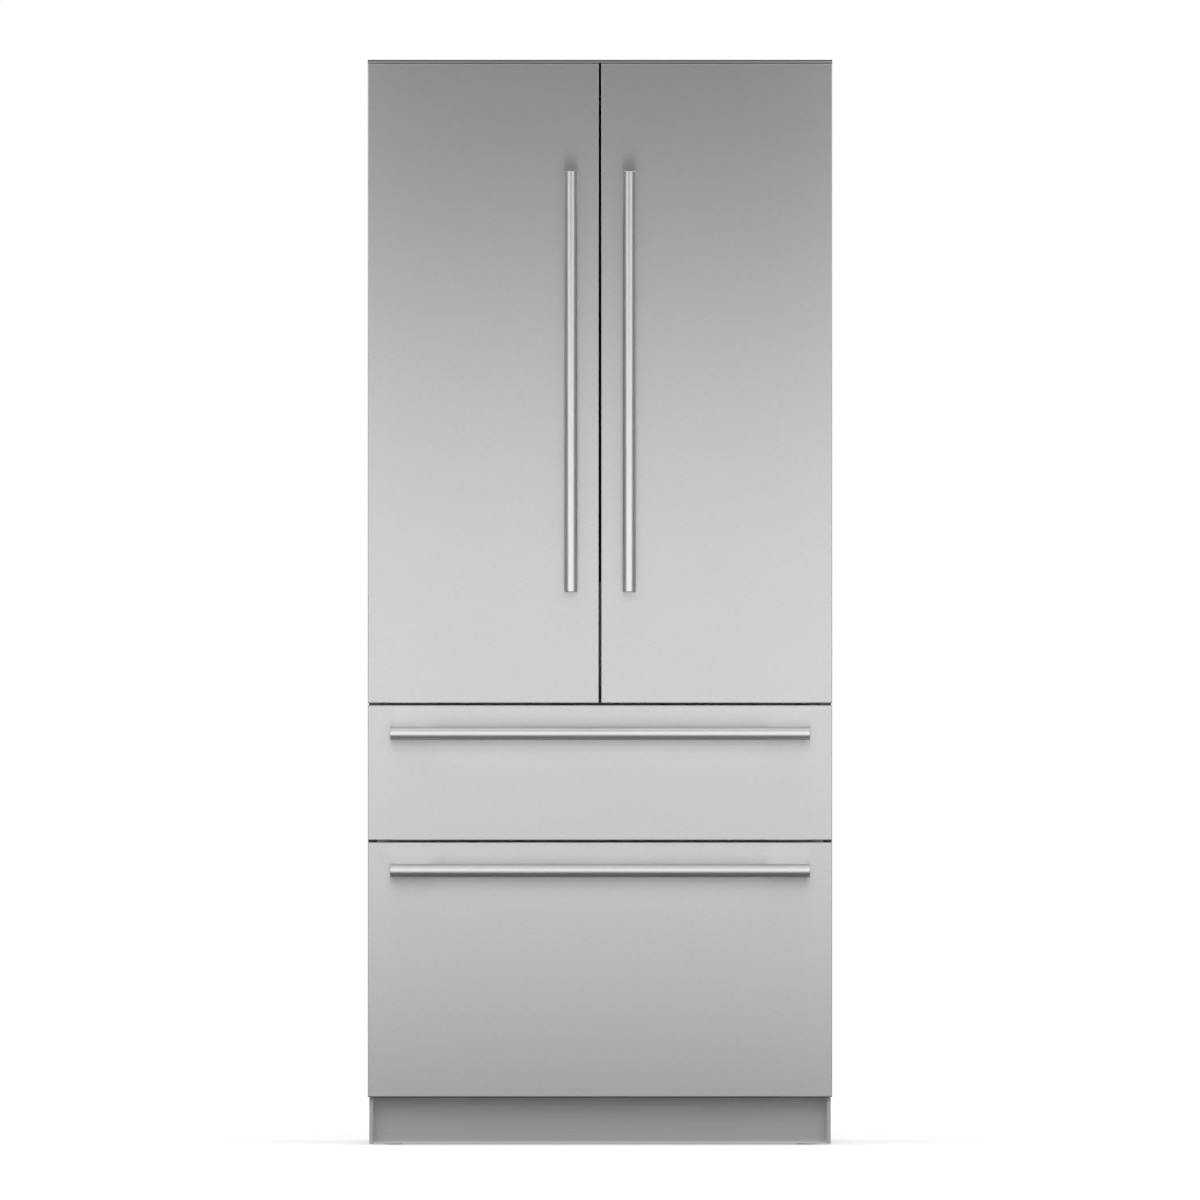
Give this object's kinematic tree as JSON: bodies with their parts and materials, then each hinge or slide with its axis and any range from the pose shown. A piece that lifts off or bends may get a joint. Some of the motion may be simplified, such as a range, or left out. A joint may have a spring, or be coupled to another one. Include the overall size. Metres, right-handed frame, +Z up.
{
  "type": "built-in french door refrigerator",
  "caption": "Tall stainless built-in refrigerator with french doors over full-width drawers and round bar handles.",
  "frame": {"origin": "floor, in the middle of the width and of the depth over the handles", "axes": "+Z up, +Y towards the wall behind, +X to the right of a person facing the doors"},
  "size_m": [0.908, 0.672, 2.121],
  "materials": {
    "stainless_front": "fine horizontal brushing",
    "handle_steel": "satin",
    "trim_steel": "satin",
    "casing_paint": "fine texture",
    "frame_paint": "satin black",
    "zinc_steel": "bright zinc",
    "white_plastic": "smooth",
    "grey_plastic": "fine texture",
    "dark_gloss": "gloss",
    "clear_plastic": "clear",
    "shelf_glass": "clear",
    "bare_aluminium": "satin",
    "seal_rubber": "matt",
    "foam": "closed cells, hidden",
    "black_enamel": "gloss"
  },
  "bodies": {
    "cabinet": {"side_panel_left": "casing_paint", "side_panel_right": "casing_paint", "top_panel": "casing_paint", "rear_panel": "zinc_steel", "base_frame": "frame_paint", "cabinet_insulation": "foam", "fresh_food_liner": "white_plastic", "drawer_liner": "white_plastic", "front_rails": "casing_paint", "top_trim": "trim_steel", "toe_kick": "trim_steel", "door_hinges": "zinc_steel", "cabinet_slides": "zinc_steel", "compressor": "black_enamel", "condenser": "bare_aluminium", "drain_pan": "grey_plastic", "machine_cover": "zinc_steel", "evaporator": "bare_aluminium", "freezer_air_cover": "white_plastic", "fresh_air_panel": "white_plastic", "shelf_frames": "bare_aluminium", "shelf_glass": "shelf_glass", "control_panel": "dark_gloss"},
    "left_door": {"left_door_skin": "stainless_front", "left_door_insulation": "foam", "left_door_inner_panel": "white_plastic", "left_door_gasket": "seal_rubber", "left_door_handle": "handle_steel", "left_door_bins": "clear_plastic"},
    "right_door": {"right_door_skin": "stainless_front", "right_door_insulation": "foam", "right_door_inner_panel": "white_plastic", "right_door_gasket": "seal_rubber", "right_door_handle": "handle_steel", "right_door_bins": "clear_plastic"},
    "upper_drawer": {"upper_drawer_skin": "stainless_front", "upper_drawer_insulation": "foam", "upper_drawer_inner_panel": "white_plastic", "upper_drawer_gasket": "seal_rubber", "upper_drawer_handle": "handle_steel", "upper_drawer_slides": "zinc_steel", "upper_drawer_bin": "clear_plastic"},
    "lower_drawer": {"lower_drawer_skin": "stainless_front", "lower_drawer_insulation": "foam", "lower_drawer_inner_panel": "white_plastic", "lower_drawer_gasket": "seal_rubber", "lower_drawer_handle": "handle_steel", "lower_drawer_slides": "zinc_steel", "lower_drawer_bin": "clear_plastic"},
    "flip_mullion": {"flip_mullion": "grey_plastic"},
    "upper_mid_slides": {"upper_mid_slides": "zinc_steel"},
    "lower_mid_slides": {"lower_mid_slides": "zinc_steel"},
    "freezer_tray": {"freezer_tray": "clear_plastic"},
    "crisper_left": {"crisper_left": "clear_plastic"},
    "crisper_right": {"crisper_right": "clear_plastic"},
    "condenser_fan": {"condenser_fan": "grey_plastic"},
    "freezer_fan": {"freezer_fan": "grey_plastic"},
    "front_foot_left": {"front_foot_left": "zinc_steel"},
    "front_foot_right": {"front_foot_right": "zinc_steel"},
    "rear_rollers": {"rear_rollers": "grey_plastic"}
  },
  "joints": [
    {"name": "left_door_hinge", "type": "hinge", "parent": "cabinet", "child": "left_door", "pos_m": [-0.445, -0.265, 1.489], "axis": [0, 0, -1], "range_deg": [0, 115]},
    {"name": "right_door_hinge", "type": "hinge", "parent": "cabinet", "child": "right_door", "pos_m": [0.445, -0.265, 1.489], "axis": [0, 0, 1], "range_deg": [0, 115]},
    {"name": "mullion_flip", "type": "hinge", "parent": "left_door", "child": "flip_mullion", "pos_m": [-0.038, -0.192, 1.47], "axis": [0, 0, -1], "range_deg": [0, 90]},
    {"name": "upper_drawer_slide", "type": "slide", "parent": "cabinet", "child": "upper_drawer", "axis": [0, -1, 0], "range_m": [0, 0.43]},
    {"name": "upper_mid_slide", "type": "slide", "parent": "cabinet", "child": "upper_mid_slides", "axis": [0, -1, 0], "range_m": [0, 0.215]},
    {"name": "lower_drawer_slide", "type": "slide", "parent": "cabinet", "child": "lower_drawer", "axis": [0, -1, 0], "range_m": [0, 0.36]},
    {"name": "lower_mid_slide", "type": "slide", "parent": "cabinet", "child": "lower_mid_slides", "axis": [0, -1, 0], "range_m": [0, 0.18]},
    {"name": "freezer_tray_slide", "type": "slide", "parent": "lower_drawer", "child": "freezer_tray", "axis": [0, 1, 0], "range_m": [0, 0.13]},
    {"name": "crisper_left_slide", "type": "slide", "parent": "cabinet", "child": "crisper_left", "axis": [0, -1, 0], "range_m": [0, 0.05]},
    {"name": "crisper_right_slide", "type": "slide", "parent": "cabinet", "child": "crisper_right", "axis": [0, -1, 0], "range_m": [0, 0.05]},
    {"name": "condenser_fan_spin", "type": "hinge", "parent": "cabinet", "child": "condenser_fan", "pos_m": [0.057, 0.24125, 0.1275], "axis": [-1, 0, 0], "continuous": true},
    {"name": "freezer_fan_spin", "type": "hinge", "parent": "cabinet", "child": "freezer_fan", "pos_m": [0, 0.218, 0.466], "axis": [0, 1, 0], "continuous": true},
    {"name": "front_foot_left_screw", "type": "slide", "parent": "cabinet", "child": "front_foot_left", "axis": [0, 0, -1], "range_m": [0, 0.02]},
    {"name": "front_foot_right_screw", "type": "slide", "parent": "cabinet", "child": "front_foot_right", "axis": [0, 0, -1], "range_m": [0, 0.02]},
    {"name": "rear_rollers_spin", "type": "hinge", "parent": "cabinet", "child": "rear_rollers", "pos_m": [0, 0.301, 0.022], "axis": [1, 0, 0], "continuous": true}
  ],
  "couplings": [
    {"joint": "upper_mid_slide", "follows": "upper_drawer_slide", "ratio": 0.5},
    {"joint": "lower_mid_slide", "follows": "lower_drawer_slide", "ratio": 0.5}
  ]
}
